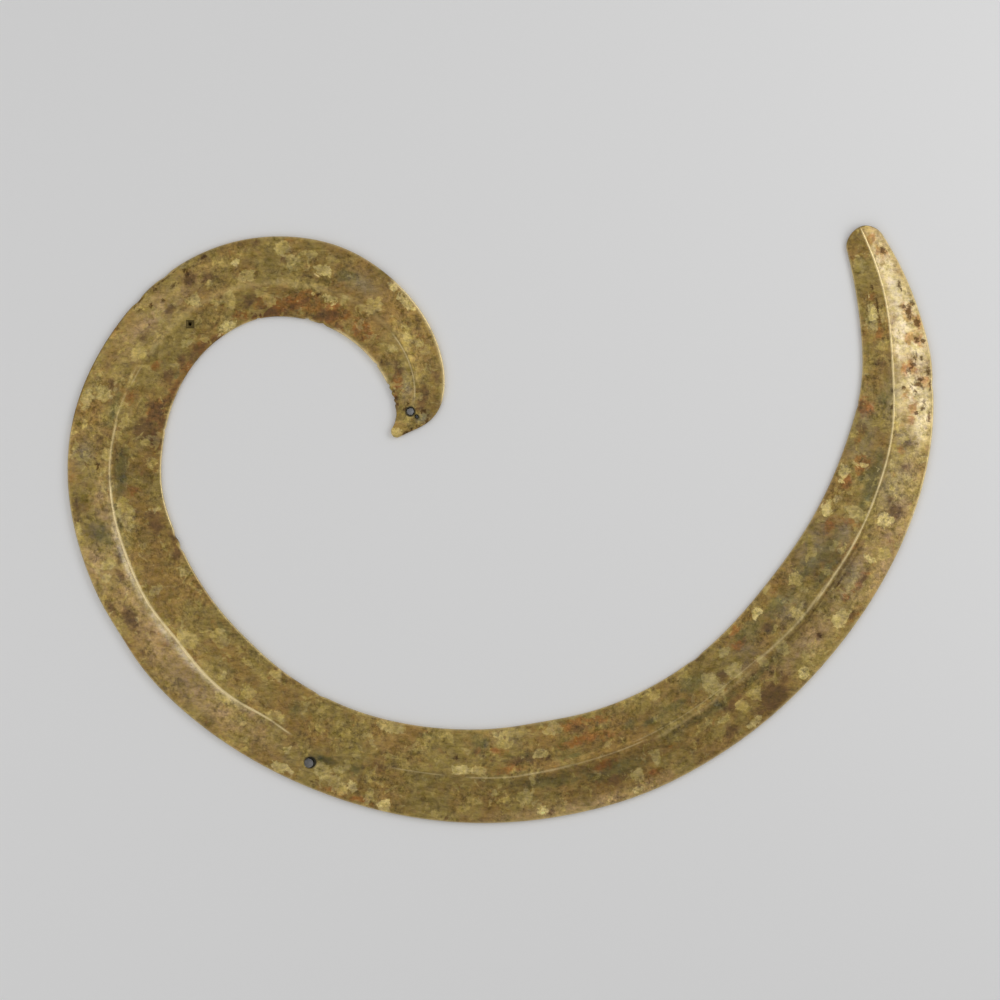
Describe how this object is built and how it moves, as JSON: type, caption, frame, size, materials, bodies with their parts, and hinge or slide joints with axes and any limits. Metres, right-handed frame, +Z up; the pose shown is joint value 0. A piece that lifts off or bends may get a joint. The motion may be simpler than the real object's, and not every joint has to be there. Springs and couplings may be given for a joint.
{
  "type": "head ornament",
  "caption": "Flat spiral band of hammered brass sheet with a raised median ridge, a beak-like inner end and a rounded tail, punched for sewing to a headdress.",
  "frame": {"origin": "middle of the underside of the ornament's box, as it lies on its back", "axes": "+X along the ornament's long side towards the tail, +Y towards the open side of the spiral, +Z up out of the ridged face"},
  "size_m": [0.2704, 0.1866, 0.006],
  "materials": {
    "aged_brass": "aged satin brass with mottled olive, rust-brown and green patina"
  },
  "bodies": {
    "root": {"head_ornament": "aged_brass"}
  },
  "joints": []
}
